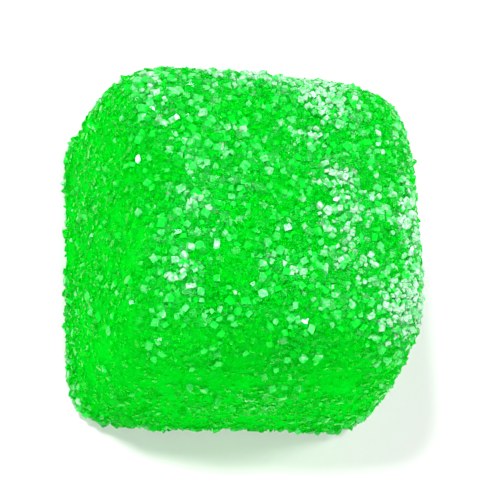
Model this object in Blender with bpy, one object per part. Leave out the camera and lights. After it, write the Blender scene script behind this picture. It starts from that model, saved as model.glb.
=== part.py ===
"""A sugared chewy candy, cast in a starch mould: one rounded square block.

It stands on the flat face that was the open side of the mould. That face has
the widest outline and a crisp edge. The walls draw in towards the top, the
plan gets rounder on the way up, and the walls roll over into a softly crowned
top. Like real castings it is a little uneven: each corner and each side has
its own softness, and the top leans over and dips to one side. The outline
given here is that of the sugar grains, which stand proud of the gel.

Metres, +Z up, origin at the middle of the flat face it rests on.
"""
import math

import bmesh
import bpy

# Overall size
WIDTH = 0.0160  # along X, at the crisp edge
DEPTH = 0.0156  # along Y, at the crisp edge
HEIGHT = 0.0113

# How the casting is rounded: powers of superellipses, where 2 is an ellipse
# and a high power is nearly square
SECTION_POWER = 5.0  # seen from the side
CORNER_POWERS = {  # seen from above, at the crisp edge, by the signs of X and Y
    (1, 1): 7.5,
    (-1, 1): 10.0,
    (-1, -1): 8.0,
    (1, -1): 6.0,
}
TOP_SOFTNESS = 0.60  # share of a corner's power that is left at the top
DRAFT = 0.055  # share of the width lost from edge to top

# How it is uneven
SIDE_BULGES = {  # how far the middle of each wall stands out, by its direction
    (1, 0): 0.00022,
    (-1, 0): 0.00005,
    (0, 1): 0.00012,
    (0, -1): 0.00028,
}
TOP_LEAN = (0.00030, 0.00022)  # how far the top is pushed over along X and Y
TOP_DIP = (0.00035, -0.00025)  # how much lower the top is at the +X and +Y ends

# The crisp edge
EDGE_RADIUS = 0.00040  # how far the flat face stays inside the widest outline
EDGE_HEIGHT = 0.00060  # height over which the wall reaches that outline

# Facets
CELLS = 16  # along each side of the starting cube
ROW_CROWDING = 1.25  # draws the rows of cells on the walls towards the edge

GEL_GREEN = (0.0, 0.80, 0.03, 1.0)
GEL_ROUGHNESS = 0.4


def sign(value):
    """-1 below zero, otherwise 1."""
    return -1 if value < 0 else 1


def plan_reach(u, v, height):
    """Factor that brings a point of the square u, v to the rounded outline."""
    reach = max(abs(u), abs(v))
    power = CORNER_POWERS[sign(u), sign(v)]
    power *= 1 - (1 - TOP_SOFTNESS) * height
    return ((abs(u) / reach) ** power + (abs(v) / reach) ** power) ** (-1 / power)


def section_reach(level, height):
    """Factor that brings a point of the unit square to the rounded section."""
    return (level**SECTION_POWER + height**SECTION_POWER) ** (-1 / SECTION_POWER)


def side_bulge(across, along, height, low, high):
    """Outward shift of a wall, fading towards its corners, edge and top."""
    amount = SIDE_BULGES[high] if across > 0 else -SIDE_BULGES[low]
    fade = (1 - along**2) * math.sin(math.pi * height) * abs(across)
    return amount * fade


def candy_point(u, v, w):
    """Point of the candy for a point of the cube: u, v in -1..1, w in 0..1.

    w is 0 on the flat face and 1 on the cube's top. Past the shoulder, the
    rounded section takes over from the walls.
    """
    level = max(abs(u), abs(v))
    if level == 0:
        return (TOP_LEAN[0], TOP_LEAN[1], HEIGHT) if w > 0 else (0.0, 0.0, 0.0)
    section = section_reach(level, w) if w > 0 else 1.0
    height = w * section
    plan = section * plan_reach(u, v, height) * (1 - DRAFT * height)
    x, y = u * plan, v * plan
    wide = WIDTH / 2 * x + side_bulge(x, y, height, (-1, 0), (1, 0))
    deep = DEPTH / 2 * y + side_bulge(y, x, height, (0, -1), (0, 1))
    rise = HEIGHT * height
    if rise < EDGE_HEIGHT:
        inset = EDGE_RADIUS * (1 - rise / EDGE_HEIGHT) ** 2
        wide -= inset * x
        deep -= inset * y
    lean = height**2
    rise -= lean * (TOP_DIP[0] * x + TOP_DIP[1] * y) / 2
    return wide + TOP_LEAN[0] * lean, deep + TOP_LEAN[1] * lean, rise


def cut_cube():
    """A cube from -1 to 1 whose faces are cut into equal square cells."""
    cube = bmesh.new()
    bmesh.ops.create_cube(cube, size=2.0)
    bmesh.ops.subdivide_edges(cube, edges=cube.edges[:], cuts=CELLS - 1, use_grid_fill=True)
    return cube


def join_underside(shape):
    """Makes the cells of the flat face one face."""
    below = [face for face in shape.faces if all(vert.co.z == 0 for vert in face.verts)]
    bmesh.ops.dissolve_faces(shape, faces=below, use_verts=True)


def gel_material():
    """Glossy, saturated green gel."""
    material = bpy.data.materials.new("green_gel")
    material.use_nodes = True
    shader = material.node_tree.nodes["Principled BSDF"]
    shader.inputs["Base Color"].default_value = GEL_GREEN
    shader.inputs["Roughness"].default_value = GEL_ROUGHNESS
    shader.inputs["Metallic"].default_value = 0.0
    return material


def make_candy():
    """The candy, as one object standing on z = 0."""
    shape = cut_cube()
    for vert in shape.verts:
        u, v, w = vert.co.x, vert.co.y, (vert.co.z + 1) / 2
        vert.co = candy_point(u, v, w**ROW_CROWDING)
    join_underside(shape)
    bmesh.ops.recalc_face_normals(shape, faces=shape.faces[:])
    mesh = bpy.data.meshes.new("candy")
    shape.to_mesh(mesh)
    shape.free()
    mesh.shade_smooth()
    mesh.materials.append(gel_material())
    candy = bpy.data.objects.new("candy", mesh)
    bpy.context.scene.collection.objects.link(candy)
    return candy


for old in list(bpy.data.objects):
    bpy.data.objects.remove(old)
make_candy()
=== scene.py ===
"""Looks of a sugared chewy candy: a translucent green gel body, the sugar grains
that coat it, a pale floor, soft light and a camera that looks down on it.

The gel has the solid's form, drawn in by as much as the grains stand out. Grains
are scattered over it kind by kind, thickly on the top and on two walls and thinly
on the other two walls, and each kind is one joined mesh.

Metres, +Z up, in the frame of the solid: the origin is the middle of the flat
face that the candy rests on.
"""
import math
from collections import defaultdict
from itertools import product
from typing import NamedTuple

import bmesh
import bpy
import numpy as np
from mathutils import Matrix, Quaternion, Vector, noise


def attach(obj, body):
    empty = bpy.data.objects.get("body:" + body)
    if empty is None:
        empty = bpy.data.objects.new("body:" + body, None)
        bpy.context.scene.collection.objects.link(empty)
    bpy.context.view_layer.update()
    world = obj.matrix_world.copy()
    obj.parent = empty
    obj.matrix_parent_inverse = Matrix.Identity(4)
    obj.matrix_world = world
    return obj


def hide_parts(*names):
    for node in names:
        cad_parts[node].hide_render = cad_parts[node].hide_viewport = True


MM = 0.001
TINY = 1e-9  # keeps divisions away from zero

# ---------------------------------------------------------------------------
# The casting's form, with the names and values of the solid's own source.
# Powers are those of superellipses: 2 is an ellipse, a high one nearly square.
# ---------------------------------------------------------------------------
WIDTH = 0.0160  # along X, at the crisp edge
DEPTH = 0.0156  # along Y, at the crisp edge
HEIGHT = 0.0113
SECTION_POWER = 5.0  # seen from the side
CORNER_POWERS = {  # seen from above, at the crisp edge, by the signs of X and Y
    (1, 1): 7.5,
    (-1, 1): 10.0,
    (-1, -1): 8.0,
    (1, -1): 6.0,
}
TOP_SOFTNESS = 0.60  # share of a corner's power that is left at the top
DRAFT = 0.055  # share of the width lost from edge to top
SIDE_BULGES = {  # how far the middle of each wall stands out, by its direction
    (1, 0): 0.00022,
    (-1, 0): 0.00005,
    (0, 1): 0.00012,
    (0, -1): 0.00028,
}
TOP_LEAN = (0.00030, 0.00022)  # how far the top is pushed over along X and Y
TOP_DIP = (0.00035, -0.00025)  # how much lower the top is at the +X and +Y ends
EDGE_RADIUS = 0.00040  # how far the flat face stays inside the widest outline
EDGE_HEIGHT = 0.00060  # height over which the wall reaches that outline
ROW_CROWDING = 1.25  # draws the rows of cells on the walls towards the edge

# ---------------------------------------------------------------------------
# The gel
# ---------------------------------------------------------------------------
GEL_CELLS = 124  # along each side of the cube that the gel is shaped from
GRAIN_STAND = 0.20 * MM  # how far the gel lies inside the solid's outline
LOWEST_GEL = 0.6 * GRAIN_STAND  # height of its lowest swells
SWELLS = (  # unevenness of the gel: how deep its swells are and how wide
    (0.085 * MM, 4.5 * MM),
    (0.040 * MM, 1.5 * MM),
    (0.028 * MM, 0.60 * MM),
    (0.018 * MM, 0.34 * MM),
)
SWELL_SHIFT = 3.7  # moves each width of swell along in the noise, so that they differ

# ---------------------------------------------------------------------------
# Where sugar lies. Cover is 0 where the gel is bare, 1 where grains hide it, and
# more where they are heaped.
# ---------------------------------------------------------------------------
FACE_COVER = {  # of the top, the walls and the underside, by direction
    (0, 0, 1): 0.61,
    (0, -1, 0): 0.21,
    (-1, 0, 0): 0.19,
    (1, 0, 0): 0.48,
    (0, 1, 0): 0.55,
    (0, 0, -1): 0.45,
}
FACE_SHARPNESS = 3  # how quickly, round an edge, one face's cover gives way to the next's
PATCHY = (3.2 * MM, 5.3)  # size and shift of the noise for wide thick and thin places
SPECKLED = (0.9 * MM, 17.1)  # the same for small ones
PATCHY_COVER = 0.8  # share of the cover that wide places add or take away
SPECKLED_COVER = 0.5  # the same for small ones
EDGE_COVER = 0.24  # added on the rounded edges on the +X and +Y side
EDGE_TURN = (0.05, 0.22)  # turn away from the nearest face where an edge starts and is full
EDGE_SIDE = (-0.3, 0.5)  # X + Y, in widths, over which it sets in
RIM_COVER = 0.30  # added in a band along the crisp edge
RIM_EVENNESS = 0.6  # share of it where the sugar is neither thick nor thin
RIM_HEIGHT = 0.50 * MM
RIM_WIDTH = 0.55 * MM
PATCHES = (  # thick patches: middle and radius in mm, and the cover they add
    ((1.5, 5.2, 10.9), 3.4, 0.27),
    ((6.4, -0.5, 10.2), 3.2, 0.18),
    ((2.4, 5.4, 11.0), 1.4, 0.6),
    ((-5.3, 4.4, 10.5), 1.6, 0.5),
    ((-0.7, 6.3, 10.6), 0.9, 0.45),
    ((2.8, 1.0, 11.3), 0.9, 0.6),
    ((3.6, -0.6, 11.3), 0.7, 0.5),
    ((6.2, -4.4, 9.8), 1.7, 0.85),
    ((-4.6, -4.2, 10.6), 1.0, 0.35),
    ((0.0, -3.4, 11.2), 1.2, 0.35),
    ((8.0, 1.6, 4.8), 2.6, 0.9),
    ((2.5, 7.8, 4.0), 2.0, 0.8),
)
PATCH_FRAYING = (0.35, 0.25)  # how much small and wide noise move a patch's outline
COVER_LIMITS = (0.02, 1.6)  # least and most


# ---------------------------------------------------------------------------
# Kinds of grain
# ---------------------------------------------------------------------------
class Kind(NamedTuple):
    """A kind of grain, all of which are one piece."""

    name: str
    look: str  # clear or dry
    layer: str  # kinds in one layer keep clear of each other
    sizes: tuple  # smallest and largest, in mm
    chips: int  # chipped corners
    tries: int  # places that are tried
    most: int  # grains that are kept at most
    lift: tuple  # how far the middle lies above the gel, in sizes: least and most
    least_cover: float  # cover from which they lie there
    sharpness: float  # how sharply they keep to the well covered places
    whiteness: tuple  # where bare, added where covered, and how much it varies


GRAIN_KINDS = (
    Kind("sugar_coarse", "clear", "coat", sizes=(0.38, 0.58), chips=5, tries=16000, most=500,
         lift=(-0.20, 0.05), least_cover=0.10, sharpness=2.4, whiteness=(0.02, 0.16, 0.6)),
    Kind("sugar_white", "dry", "coat", sizes=(0.19, 0.42), chips=4, tries=16000, most=5000,
         lift=(-0.10, 0.14), least_cover=0.13, sharpness=1.4, whiteness=(0.10, 0.26, 0.6)),
    Kind("sugar_medium", "clear", "coat", sizes=(0.26, 0.40), chips=4, tries=70000, most=6000,
         lift=(-0.10, 0.18), least_cover=0.08, sharpness=2.0, whiteness=(0.02, 0.16, 0.6)),
    Kind("sugar_fine", "clear", "coat", sizes=(0.13, 0.24), chips=1, tries=150000, most=13000,
         lift=(-0.10, 0.25), least_cover=0.03, sharpness=1.5, whiteness=(0.02, 0.16, 0.6)),
    Kind("sugar_crust", "dry", "crust", sizes=(0.16, 0.30), chips=2, tries=60000, most=3500,
         lift=(0.40, 0.74), least_cover=0.85, sharpness=1.0, whiteness=(0.30, 0.45, 0.4)),
    Kind("sugar_dust", "clear", "dust", sizes=(0.06, 0.12), chips=0, tries=50000, most=14000,
         lift=(-0.05, 0.35), least_cover=-0.12, sharpness=1.0, whiteness=(0.02, 0.40, 0.5)),
)
SEED = 11
SIZE_POWER = 1.4  # above 1, a kind's small grains are commoner than its large ones
CLEARANCE = 0.80  # least distance of two grains on bare gel, in sums of their radii
CROWDING = 0.12  # how much less it is where they cover the gel
CROWD_CELL = 0.6 * MM  # wider than that distance for the largest grains
GREATEST_TILT = math.radians(65)
STEEP = 0.9  # upward part of a direction from which it counts as upright
FLOOR_GAP = 0.01 * MM  # least height of a grain above the floor
WHITE_FROM = 0.15  # cover from which grains get whiter
WHITE_OVER = 1.2  # cover over which they do
# Painted light and shade: a grain's facets are made lighter or darker at random, standing in for
# light refracted through the crystal.
FACET_PAINTED_REFRACTION = (0.4, 1.6)  # of a grain's facets, in that of the grain

CRYSTAL_SHAPES = 14  # different crystals in each kind
CRYSTAL_SLANT = 0.23  # shift along X for each unit of height, as sugar's crystals have
CRYSTAL_WIDTHS = (0.62, 1.0)  # in lengths
CRYSTAL_HEIGHTS = (0.48, 0.86)
CHIP_SLOPES = (0.25, 1.0)  # how far a chip faces along each side of the crystal
CHIP_DEPTHS = (0.72, 0.92)  # distance of a chip, in that of the corner it takes off

# ---------------------------------------------------------------------------
# Maps of the gel's and grains' surfaces
# ---------------------------------------------------------------------------
MAP_NAME = "OFBake"  # the layer that holds a piece's own map
CELL_SHARE = 0.96  # part of its cell of the map that a side of the gel fills
FACET_RADIUS = 0.004  # of a grain's facet on the map
MAP_MARGIN = 0.01  # from the map's edge to the first facet's middle
MAP_SPAN = 0.97  # from the first to the last facet's middle

# ---------------------------------------------------------------------------
# Colours, as linear RGB, and where a ramp has them
# ---------------------------------------------------------------------------
GEL_DEEP = (0.000, 0.40, 0.003, 1)
GEL_BRIGHT = (0.000, 0.63, 0.008, 1)
GEL_FROST = (0.018, 0.61, 0.075, 1)
GLINT_TINT = (0.65, 1.0, 0.88, 1)
# Painted light: the green of clear sugar is the gel's glow seen through the crystals, painted
# into their colour; the paler stops are dry sugar's own white.
SUGAR_COLOURS_WITH_GEL_GLOW = (  # by whiteness
    (0.0, (0.0, 0.93, 0.010, 1)),
    (0.06, (0.0, 0.93, 0.03, 1)),
    (0.2, (0.02, 0.93, 0.09, 1)),
    (0.5, (0.20, 0.93, 0.33, 1)),
    (1.0, (0.70, 0.94, 0.78, 1)),
)
FLOOR_COLOURS = (  # by noise
    (0.3, (0.84, 0.84, 0.835, 1)),
    (0.7, (0.86, 0.86, 0.855, 1)),
)
STUDIO_COLOURS = (  # by height, from the horizon upwards
    (0.12, (0.97, 0.97, 0.97, 1)),
    (0.55, (0.10, 0.10, 0.10, 1)),
)

# ---------------------------------------------------------------------------
# Floor and camera
# ---------------------------------------------------------------------------
FLOOR_RADIUS = 0.16
FLOOR_SEGMENTS = 96
LAMP_TARGET = (0, 0, 5 * MM)
CAMERA_TARGET = (0.4 * MM, 0.0, 4.6 * MM)
CAMERA_AZIMUTH = 325.5  # degrees, as are the next two
CAMERA_ELEVATION = 62
CAMERA_ROLL = 34.5
CAMERA_DISTANCE = 0.080
CAMERA_LENS = 120  # millimetres, as is the next
CAMERA_SENSOR = 36
CAMERA_CLIPS = (0.005, 20)


# ---------------------------------------------------------------------------
# Form of the gel
# ---------------------------------------------------------------------------
def corner_powers(u, v, height):
    """Power of the plan's superellipse at each point, by the corner it is nearest to."""
    power = np.select(
        [(u >= 0) & (v >= 0), (u < 0) & (v >= 0), (u < 0) & (v < 0)],
        [CORNER_POWERS[1, 1], CORNER_POWERS[-1, 1], CORNER_POWERS[-1, -1]],
        CORNER_POWERS[1, -1],
    )
    return power * (1 - (1 - TOP_SOFTNESS) * height)


def side_bulge(across, along, height, low, high):
    """Outward shift of a wall, fading towards its corners, edge and top."""
    amount = np.where(across > 0, SIDE_BULGES[high], -SIDE_BULGES[low])
    return amount * (1 - along**2) * np.sin(math.pi * height) * abs(across)


def casting_points(u, v, w):
    """Points of the casting for arrays of cube points: u, v in -1..1, w in 0..1."""
    level = np.maximum(np.maximum(abs(u), abs(v)), TINY)
    rounding = (level**SECTION_POWER + w**SECTION_POWER) ** (-1 / SECTION_POWER)
    section = np.where(w > 0, rounding, 1.0)
    height = w * section
    power = corner_powers(u, v, height)
    square = (abs(u) / level) ** power + (abs(v) / level) ** power
    plan = np.maximum(square, TINY) ** (-1 / power)
    reach = section * plan * (1 - DRAFT * height)
    x, y = u * reach, v * reach
    wide = WIDTH / 2 * x + side_bulge(x, y, height, (-1, 0), (1, 0))
    deep = DEPTH / 2 * y + side_bulge(y, x, height, (0, -1), (0, 1))
    rise = HEIGHT * height
    inset = EDGE_RADIUS * np.clip(1 - rise / EDGE_HEIGHT, 0, 1) ** 2
    lean = height**2
    wide += TOP_LEAN[0] * lean - inset * x
    deep += TOP_LEAN[1] * lean - inset * y
    rise -= lean * (TOP_DIP[0] * x + TOP_DIP[1] * y) / 2
    return np.stack([wide, deep, rise], axis=1)


def cut_cube(name):
    """A mesh of the cube from -1 to 1, whose faces are cut into equal square cells."""
    cube = bmesh.new()
    bmesh.ops.create_cube(cube, size=2.0)
    bmesh.ops.subdivide_edges(cube, edges=cube.edges[:], cuts=GEL_CELLS - 1, use_grid_fill=True)
    mesh = bpy.data.meshes.new(name)
    cube.to_mesh(mesh)
    cube.free()
    return mesh


def vertex_points(mesh):
    """The mesh's vertices, as an array."""
    found = np.empty(len(mesh.vertices) * 3)
    mesh.vertices.foreach_get("co", found)
    return found.reshape(-1, 3)


def vertex_normals(mesh):
    """The mesh's outward directions at its vertices, as an array."""
    found = np.empty(len(mesh.vertices) * 3)
    mesh.vertex_normals.foreach_get("vector", found)
    return found.reshape(-1, 3)


def move_vertices(mesh, points):
    """Puts the mesh's vertices at those points."""
    mesh.vertices.foreach_set("co", points.ravel())
    mesh.update()


def add_values(mesh, name, domain, values):
    """Stores one number for each vertex or face, for a material to read."""
    stored = mesh.attributes.new(name, "FLOAT", domain)
    stored.data.foreach_set("value", values.astype(np.float32))


def new_object(name, data):
    """An object for the data, in the scene."""
    made = bpy.data.objects.new(name, data)
    bpy.context.scene.collection.objects.link(made)
    return made


def make_gel():
    """The gel body, with its swells, its values of frost and its map."""
    mesh = cut_cube("gel")
    mesh.shade_smooth()
    grid = vertex_points(mesh)
    add_cube_map(mesh, grid)
    u, v, w = grid[:, 0], grid[:, 1], (grid[:, 2] + 1) / 2
    points = casting_points(u, v, w**ROW_CROWDING)
    move_vertices(mesh, points)
    normals = vertex_normals(mesh)
    points -= normals * GRAIN_STAND
    swell = sum(
        depth * noise_at(points, size, SWELL_SHIFT * n) for n, (depth, size) in enumerate(SWELLS)
    )
    under = np.isclose(grid[:, 2], -1)
    points += normals * np.where(under, 0, swell)[:, None]
    points[under, 2] = GRAIN_STAND
    points[:, 2] = np.maximum(points[:, 2], LOWEST_GEL)
    move_vertices(mesh, points)
    cover = sugar_cover(points, vertex_normals(mesh))
    add_values(mesh, "frost", "POINT", np.clip(cover, 0, 1))
    return new_object("gel", mesh)


def cell_places(corners, axes):
    """Where corners of the cube lie along an axis each, from 0 to 1 in their cell of the map."""
    place = (np.take_along_axis(corners, axes[:, None, None], 2)[:, :, 0] + 1) / 2
    return (place - 0.5) * CELL_SHARE + 0.5


def add_cube_map(mesh, grid):
    """Lays the six sides of the cube side by side, in three columns and two rows."""
    loops = np.empty(len(mesh.loops), int)
    mesh.loops.foreach_get("vertex_index", loops)
    corners = grid[loops].reshape(-1, 4, 3)
    middles = corners.mean(1)
    axis = abs(middles).argmax(1)
    side = axis * 2 + (np.take_along_axis(middles, axis[:, None], 1)[:, 0] > 0)
    column, row = (side % 3)[:, None], (side // 3)[:, None]
    across = cell_places(corners, np.array([1, 0, 0])[axis])
    along = cell_places(corners, np.array([2, 2, 1])[axis])
    places = np.stack([(across + column) / 3, (along + row) / 2], axis=2)
    layer = mesh.uv_layers.new(name=MAP_NAME)
    layer.uv.foreach_set("vector", places.ravel())


# ---------------------------------------------------------------------------
# Cover of sugar
# ---------------------------------------------------------------------------
def noise_at(points, size, shift):
    """Smooth noise of about -1 to 1 at each point, with swells of that size."""
    return np.array([noise.noise(Vector(place)) for place in points / size + shift])


def detailed_noise_at(points, size, shift):
    """Noise with four sizes of detail, the widest of that size."""
    fading, step, sizes = 0.9, 2.1, 4
    places = points / size + shift
    return np.array([noise.fractal(Vector(place), fading, step, sizes) for place in places])


def smooth_step(low, high, value):
    """0 below low, 1 above high, and a soft rise between."""
    t = np.clip((value - low) / (high - low), 0, 1)
    return t * t * (3 - 2 * t)


def face_cover(normals):
    """Cover at each point from the faces of the candy that it looks towards."""
    cover = np.zeros(len(normals))
    weight = np.zeros(len(normals))
    for direction, share in FACE_COVER.items():
        facing = np.clip(normals @ np.array(direction), 0, 1) ** FACE_SHARPNESS
        cover += share * facing
        weight += facing
    return cover / np.maximum(weight, TINY)


def sugar_cover(points, normals):
    """Cover at each point of the gel."""
    patchy = detailed_noise_at(points, *PATCHY)
    speckled = detailed_noise_at(points, *SPECKLED)
    cover = face_cover(normals) * (1 + PATCHY_COVER * patchy + SPECKLED_COVER * speckled)
    turned = smooth_step(*EDGE_TURN, 1 - abs(normals).max(1))
    beyond = smooth_step(*EDGE_SIDE, points[:, :2].sum(1) / WIDTH)
    cover += EDGE_COVER * (turned * beyond)
    rim = np.exp(-((points[:, 2] - RIM_HEIGHT) / RIM_WIDTH) ** 2)
    cover += RIM_COVER * rim * (RIM_EVENNESS + PATCHY_COVER * patchy)
    by_speckles, by_patches = PATCH_FRAYING
    for place, radius, strength in PATCHES:
        away = np.linalg.norm(points - np.array(place) * MM, axis=1) / (radius * MM)
        frayed = away * (1 + by_speckles * speckled + by_patches * patchy)
        cover += strength * np.exp(-(frayed**2))
    return np.clip(cover, *COVER_LIMITS)


# ---------------------------------------------------------------------------
# Grains
# ---------------------------------------------------------------------------
def chip(shape, rng):
    """Takes a corner off a crystal."""
    way = Vector(rng.choice((-1, 1), 3) * rng.uniform(*CHIP_SLOPES, 3)).normalized()
    reach = max(vert.co.dot(way) for vert in shape.verts) * rng.uniform(*CHIP_DEPTHS)
    everything = shape.verts[:] + shape.edges[:] + shape.faces[:]
    cut = bmesh.ops.bisect_plane(
        shape, geom=everything, plane_co=way * reach, plane_no=way, clear_outer=True
    )
    rim = [part for part in cut["geom_cut"] if isinstance(part, bmesh.types.BMEdge)]
    bmesh.ops.edgeloop_fill(shape, edges=rim)


def crystal(chips, rng):
    """A sugar crystal about one unit long: points and faces of a slanted, chipped box."""
    shape = bmesh.new()
    bmesh.ops.create_cube(shape, size=1.0)
    width, height = rng.uniform(*CRYSTAL_WIDTHS), rng.uniform(*CRYSTAL_HEIGHTS)
    for vert in shape.verts:
        vert.co.x += CRYSTAL_SLANT * vert.co.z
        vert.co.y *= width
        vert.co.z *= height
    for _ in range(chips):
        chip(shape, rng)
    bmesh.ops.recalc_face_normals(shape, faces=shape.faces[:])
    shape.verts.index_update()
    points = np.array([vert.co[:] for vert in shape.verts])
    faces = [[vert.index for vert in face.verts] for face in shape.faces]
    shape.free()
    return points, faces


def unit(vectors):
    """The vectors, made one unit long."""
    return vectors / np.linalg.norm(vectors, axis=1)[:, None]


def spread_places(gel, tries, rng):
    """Random places all over the gel, and its outward directions there."""
    mesh = gel.data
    mesh.calc_loop_triangles()
    trios = np.empty(len(mesh.loop_triangles) * 3, int)
    mesh.loop_triangles.foreach_get("vertices", trios)
    trios = trios.reshape(-1, 3)
    points, normals = vertex_points(mesh), vertex_normals(mesh)
    a, b, c = (points[trios[:, n]] for n in range(3))
    areas = np.linalg.norm(np.cross(b - a, c - a), axis=1)
    picked = trios[rng.choice(len(areas), tries, p=areas / areas.sum())]
    s, t = rng.random(tries), rng.random(tries)
    over = s + t > 1
    s[over], t[over] = 1 - s[over], 1 - t[over]
    share = np.stack([1 - s - t, s, t], axis=1)[:, :, None]
    return (points[picked] * share).sum(1), unit((normals[picked] * share).sum(1))


class Crowd:
    """The grains of a layer so far, by cubic cells, to keep new ones clear of them."""

    def __init__(self):
        self.cells = {}

    def cell(self, place):
        """The cell that the place is in."""
        return tuple(math.floor(value / CROWD_CELL) for value in place)

    def has_room(self, place, radius, clearance):
        """Whether a grain there is clear of all others, by that share of their radii."""
        i, j, k = self.cell(place)
        for di, dj, dk in product((-1, 0, 1), repeat=3):
            for other, other_radius in self.cells.get((i + di, j + dj, k + dk), ()):
                gap = (radius + other_radius) * clearance
                if sum((p - q) ** 2 for p, q in zip(place, other)) < gap * gap:
                    return False
        return True

    def add(self, place, radius):
        """Remembers a grain."""
        self.cells.setdefault(self.cell(place), []).append((place, radius))


def choose_places(kind, gel, crowd, rng):
    """Places, outward directions, sizes and cover for the grains of a kind."""
    places, normals = spread_places(gel, kind.tries, rng)
    cover = sugar_cover(places, normals)
    smallest, largest = kind.sizes
    sizes = (smallest + (largest - smallest) * rng.random(kind.tries) ** SIZE_POWER) * MM
    chance = np.clip(cover - kind.least_cover, 0, 1) ** kind.sharpness
    kept = []
    for n in np.flatnonzero(rng.random(kind.tries) < chance):
        place, radius = tuple(places[n]), sizes[n] / 2
        if crowd.has_room(place, radius, CLEARANCE - CROWDING * min(cover[n], 1)):
            crowd.add(place, radius)
            kept.append(n)
            if len(kept) == kind.most:
                break
    return places[kept], normals[kept], sizes[kept], cover[kept]


def swing(first, second, angles):
    """Directions in the plane of first and second, at those angles from first."""
    return first * np.cos(angles)[:, None] + second * np.sin(angles)[:, None]


def turn(vectors, axes, angles):
    """The vectors, each turned about its own axis by its own angle."""
    cos, sin = np.cos(angles)[:, None], np.sin(angles)[:, None]
    along = axes * (axes * vectors).sum(1)[:, None]
    return vectors * cos + np.cross(axes, vectors) * sin + along * (1 - cos)


def grain_turns(normals, rng):
    """Rotations that lay grains on the gel, tilted and spun."""
    count = len(normals)
    tilts = rng.uniform(0, GREATEST_TILT, count)
    spins = rng.uniform(0, 2 * math.pi, count)
    leans = rng.uniform(0, 2 * math.pi, count)
    beside = np.where(abs(normals[:, 2:3]) < STEEP, [[0, 0, 1]], [[1, 0, 0]])
    first = unit(np.cross(beside, normals))
    second = np.cross(normals, first)
    axes = swing(first, second, leans)
    up = turn(normals, axes, tilts)
    side = turn(swing(first, second, spins), axes, tilts)
    return np.stack([side, np.cross(up, side), up], axis=2)


def grain_whiteness(kind, cover, rng):
    """Whiteness of grains: greater where the cover is thick, and uneven."""
    bare, added, variation = kind.whiteness
    white = bare + added * np.clip(cover - WHITE_FROM, 0, WHITE_OVER)
    return white * rng.lognormal(0, variation, len(cover))


def copies(form, turns, sizes, middles):
    """Points of a crystal's copies, each turned, sized, placed and kept off the floor."""
    points = np.einsum("nij,vj->nvi", turns, form) * sizes[:, None, None]
    points += middles[:, None, :]
    points[:, :, 2] += np.maximum(0, FLOOR_GAP - points[:, :, 2].min(1))[:, None]
    return points.reshape(-1, 3)


def make_grains(kind, gel, crowd, rng):
    """One kind of sugar grain, scattered over the gel, as one joined mesh."""
    places, normals, sizes, cover = choose_places(kind, gel, crowd, rng)
    turns = grain_turns(normals, rng)
    middles = places + normals * (rng.uniform(*kind.lift, len(sizes)) * sizes)[:, None]
    white = grain_whiteness(kind, cover, rng)
    crystals = [crystal(kind.chips, rng) for _ in range(CRYSTAL_SHAPES)]
    picked = rng.integers(0, CRYSTAL_SHAPES, len(sizes))
    points, faces, facets = [], [], []
    start = 0
    for number, (form, sides) in enumerate(crystals):
        chosen = np.flatnonzero(picked == number)
        points.append(copies(form, turns[chosen], sizes[chosen], middles[chosen]))
        for _ in chosen:
            faces += [[start + corner for corner in side] for side in sides]
            start += len(form)
        # painted light and shade of refraction, facet by facet
        painted_refraction = rng.uniform(*FACET_PAINTED_REFRACTION, (len(chosen), len(sides)))
        facets.append((white[chosen, None] * painted_refraction).ravel())
    mesh = bpy.data.meshes.new(kind.name)
    mesh.from_pydata(np.concatenate(points).tolist(), [], faces)
    # per facet: the grain's whiteness together with the painted light and shade of refraction
    whiteness = np.clip(np.concatenate(facets), 0, 1)
    add_values(mesh, "whiteness", "FACE", whiteness)
    add_ramp_map(mesh, whiteness, rng)
    mesh.update()
    return new_object(kind.name, mesh)


def add_ramp_map(mesh, whiteness, rng):
    """Lays each facet at the place of its whiteness, so that like facets share pixels."""
    starts = np.empty(len(mesh.polygons), int)
    totals = np.empty(len(mesh.polygons), int)
    mesh.polygons.foreach_get("loop_start", starts)
    mesh.polygons.foreach_get("loop_total", totals)
    spots = np.stack([whiteness, rng.random(len(whiteness))], axis=1)
    middles = MAP_MARGIN + MAP_SPAN * spots
    places = np.zeros((len(mesh.loops), 2))
    for n in range(totals.max()):
        has = totals > n
        angles = 2 * math.pi * n / totals[has]
        around = np.stack([np.cos(angles), np.sin(angles)], axis=1)
        places[starts[has] + n] = middles[has] + FACET_RADIUS * around
    layer = mesh.uv_layers.new(name=MAP_NAME)
    layer.uv.foreach_set("vector", places.ravel())


# ---------------------------------------------------------------------------
# Materials
# ---------------------------------------------------------------------------
def set_stops(ramp, stops):
    """Gives a colour ramp its stops: place and colour, from low to high."""
    elements = ramp.color_ramp.elements
    while len(elements) < len(stops):
        elements.new(0.5)
    for element, (place, colour) in zip(elements, stops):
        element.position = place
        element.color = colour


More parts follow.
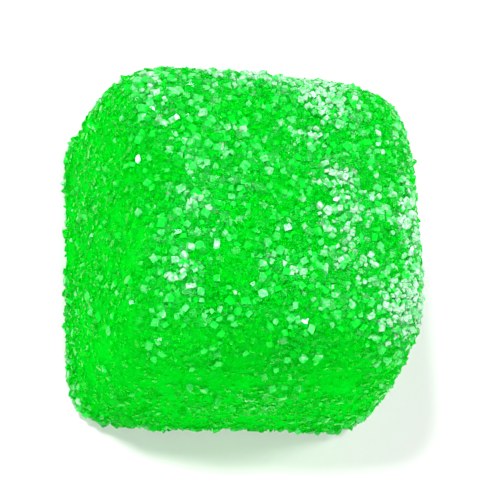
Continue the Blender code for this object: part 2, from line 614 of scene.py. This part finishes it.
class Nodes:
    """A new material, and short ways to add nodes to it."""

    def __init__(self, name):
        self.material = bpy.data.materials.new(name)
        self.material.use_nodes = True
        self.tree = self.material.node_tree
        self.shader = self.tree.nodes["Principled BSDF"].inputs

    def add(self, kind, **settings):
        """A new node with those settings."""
        node = self.tree.nodes.new(kind)
        for key, value in settings.items():
            setattr(node, key, value)
        return node

    def feed(self, socket, value):
        """Links a node's output to the socket, or sets it to a constant."""
        if isinstance(value, bpy.types.NodeSocket):
            self.tree.links.new(value, socket)
        else:
            socket.default_value = value

    def noise(self, size, detail, roughness=0.5):
        """Noise in object space, with swells of that size."""
        place = self.add("ShaderNodeTexCoord").outputs["Object"]
        node = self.add("ShaderNodeTexNoise")
        self.feed(node.inputs["Vector"], place)
        self.feed(node.inputs["Scale"], 1 / size)
        self.feed(node.inputs["Detail"], detail)
        self.feed(node.inputs["Roughness"], roughness)
        return node.outputs["Fac"]

    def attribute(self, name):
        """A value that the mesh holds."""
        return self.add("ShaderNodeAttribute", attribute_name=name).outputs["Fac"]

    def maths(self, operation, first, second):
        """Two values, added or multiplied."""
        node = self.add("ShaderNodeMath", operation=operation)
        self.feed(node.inputs[0], first)
        self.feed(node.inputs[1], second)
        return node.outputs[0]

    def spread(self, value, source, target):
        """The value, spread from the range source to the range target."""
        node = self.add("ShaderNodeMapRange")
        self.feed(node.inputs["Value"], value)
        for name, end in zip(("From Min", "From Max", "To Min", "To Max"), (*source, *target)):
            self.feed(node.inputs[name], end)
        return node.outputs["Result"]

    def ramp(self, value, stops):
        """Colour by the value."""
        node = self.add("ShaderNodeValToRGB")
        set_stops(node, stops)
        self.feed(node.inputs["Fac"], value)
        return node.outputs["Color"]

    def mix(self, share, first, second):
        """Colour between first and second, by the share of second."""
        node = self.add("ShaderNodeMix", data_type="RGBA")
        first_colour, second_colour, mixed_colour = 6, 7, 2  # these sockets share their names
        self.feed(node.inputs["Factor"], share)
        self.feed(node.inputs[first_colour], first)
        self.feed(node.inputs[second_colour], second)
        return node.outputs[mixed_colour]

    def bump(self, height, distance, strength, normal=None):
        """Normal of a surface with that relief, on top of another normal if given."""
        node = self.add("ShaderNodeBump")
        self.feed(node.inputs["Height"], height)
        self.feed(node.inputs["Distance"], distance)
        self.feed(node.inputs["Strength"], strength)
        if normal is not None:
            self.feed(node.inputs["Normal"], normal)
        return node.outputs["Normal"]


def gel_material():
    """Saturated, translucent, mottled green gel, paler where fine sugar clings."""
    made = Nodes("green_gel")
    shader = made.shader
    shader["Subsurface Weight"].default_value = 1.0
    shader["Subsurface Radius"].default_value = (0.25, 1.0, 0.35)
    shader["Subsurface Scale"].default_value = 0.9 * MM
    shader["IOR"].default_value = 1.43
    shader["Specular IOR Level"].default_value = 0.0
    broad = made.spread(made.noise(3.5 * MM, detail=3), (0.35, 0.65), (0, 0.35))
    fine_noise = made.noise(0.20 * MM, detail=4, roughness=0.6)
    fine = made.spread(fine_noise, (0.32, 0.68), (0, 0.65))
    green = made.mix(made.maths("ADD", broad, fine), GEL_DEEP, GEL_BRIGHT)
    dusty = made.noise(0.22 * MM, detail=4, roughness=0.65)
    clinging = made.spread(dusty, (0.42, 0.68), (0.0, 0.9))
    frost = made.maths("MULTIPLY", made.attribute("frost"), clinging)
    made.feed(shader["Base Color"], made.mix(frost, green, GEL_FROST))
    roughness = made.spread(made.noise(0.9 * MM, detail=4), (0.3, 0.7), (0.28, 0.55))
    made.feed(shader["Roughness"], roughness)
    dents = made.bump(made.noise(0.45 * MM, detail=3), distance=0.03 * MM, strength=0.8)
    relief = made.bump(dusty, distance=0.02 * MM, strength=0.7, normal=dents)
    made.feed(shader["Normal"], relief)
    return made.material


def sugar_material(name, clearness, index, glint):
    """Sugar with paler and clearer veins, its green painted in for the gel's light seen through
    the crystals.
    """
    made = Nodes(name)
    shader = made.shader
    shader["Transmission Weight"].default_value = clearness
    shader["Roughness"].default_value = 0.07
    shader["IOR"].default_value = index
    shader["Specular Tint"].default_value = GLINT_TINT
    shader["Specular IOR Level"].default_value = glint
    cloudy = made.noise(0.13 * MM, detail=3, roughness=0.6)
    veins = made.spread(cloudy, (0.35, 0.65), (0.25, 1.9))
    white = made.maths("MULTIPLY", made.attribute("whiteness"), veins)
    made.feed(shader["Base Color"], made.ramp(white, SUGAR_COLOURS_WITH_GEL_GLOW))
    return made.material


def floor_material():
    """Matt, nearly white floor."""
    made = Nodes("pale_floor")
    shader = made.shader
    shader["Roughness"].default_value = 0.6
    shader["Specular IOR Level"].default_value = 0.2
    tone = made.ramp(made.noise(60 * MM, detail=2), FLOOR_COLOURS)
    made.feed(shader["Base Color"], tone)
    return made.material


# ---------------------------------------------------------------------------
# Floor, lights and camera
# ---------------------------------------------------------------------------
def make_floor():
    """A round floor under the candy."""
    shape = bmesh.new()
    bmesh.ops.create_circle(shape, cap_ends=True, segments=FLOOR_SEGMENTS, radius=FLOOR_RADIUS)
    mesh = bpy.data.meshes.new("floor")
    shape.to_mesh(mesh)
    shape.free()
    mesh.materials.append(floor_material())
    new_object("floor", mesh)


def from_side(target, azimuth, elevation, distance):
    """Place at that distance from the target. Azimuth 0 is the -Y side, 90 the +X side."""
    a, e = math.radians(azimuth), math.radians(elevation)
    way = Vector((math.sin(a) * math.cos(e), -math.cos(a) * math.cos(e), math.sin(e)))
    return Vector(target) + way * distance


def look_from(place, target):
    """Rotation of a lamp or camera that looks from the place to the target."""
    return (Vector(target) - place).to_track_quat("-Z", "Y")


def make_light(name, azimuth, elevation, distance, size, watts):
    """A round lamp that shines on the candy."""
    data = bpy.data.lights.new(name, "AREA")
    data.shape = "DISK"
    data.size = size
    data.energy = watts
    lamp = new_object(name, data)
    lamp.location = from_side((0, 0, 0), azimuth, elevation, distance)
    lamp.rotation_euler = look_from(lamp.location, LAMP_TARGET).to_euler()


def make_world():
    """A studio that is bright at the horizon and grey above."""
    world = bpy.data.worlds.new("studio")
    bpy.context.scene.world = world
    world.use_nodes = True
    tree = world.node_tree
    back = tree.nodes["Background"]
    place = tree.nodes.new("ShaderNodeTexCoord")
    split = tree.nodes.new("ShaderNodeSeparateXYZ")
    ramp = tree.nodes.new("ShaderNodeValToRGB")
    set_stops(ramp, STUDIO_COLOURS)
    tree.links.new(place.outputs["Generated"], split.inputs[0])
    tree.links.new(split.outputs["Z"], ramp.inputs["Fac"])
    tree.links.new(ramp.outputs["Color"], back.inputs["Color"])
    back.inputs["Strength"].default_value = 1.0


def make_camera():
    """A camera that looks down on the candy, rolled so that it lies square in the picture."""
    data = bpy.data.cameras.new("camera")
    data.sensor_width = CAMERA_SENSOR
    data.lens = CAMERA_LENS
    data.clip_start, data.clip_end = CAMERA_CLIPS
    camera = new_object("camera", data)
    camera.location = from_side(
        CAMERA_TARGET, CAMERA_AZIMUTH, CAMERA_ELEVATION, CAMERA_DISTANCE
    )
    roll = Quaternion((0, 0, 1), math.radians(CAMERA_ROLL))
    camera.rotation_euler = (look_from(camera.location, CAMERA_TARGET) @ roll).to_euler()
    bpy.context.scene.camera = camera


# ---------------------------------------------------------------------------
# The scene
# ---------------------------------------------------------------------------
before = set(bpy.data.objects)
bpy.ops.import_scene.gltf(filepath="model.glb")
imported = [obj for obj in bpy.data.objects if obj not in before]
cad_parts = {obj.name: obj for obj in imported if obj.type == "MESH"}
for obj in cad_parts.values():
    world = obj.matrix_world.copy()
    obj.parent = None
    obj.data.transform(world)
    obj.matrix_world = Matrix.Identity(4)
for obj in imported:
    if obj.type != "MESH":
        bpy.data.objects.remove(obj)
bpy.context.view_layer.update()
bpy.context.scene.view_settings.view_transform = "Standard"

gel = make_gel()
gel.data.materials.append(gel_material())
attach(gel, "root")
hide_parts("candy")

sugar = {
    "clear": sugar_material("clear_sugar", clearness=0.72, index=1.22, glint=0.05),
    "dry": sugar_material("dry_sugar", clearness=0.38, index=1.46, glint=0.30),
}
rng = np.random.default_rng(SEED)
crowds = defaultdict(Crowd)
for kind in GRAIN_KINDS:
    grains = make_grains(kind, gel, crowds[kind.layer], rng)
    grains.data.materials.append(sugar[kind.look])
    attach(grains, "root")

make_floor()
make_world()
make_light("key", azimuth=235, elevation=60, distance=0.34, size=0.08, watts=1.19)
make_light("fill", azimuth=10, elevation=48, distance=0.40, size=0.20, watts=1.07)
make_light("side", azimuth=110, elevation=50, distance=0.40, size=0.10, watts=0.58)
make_camera()
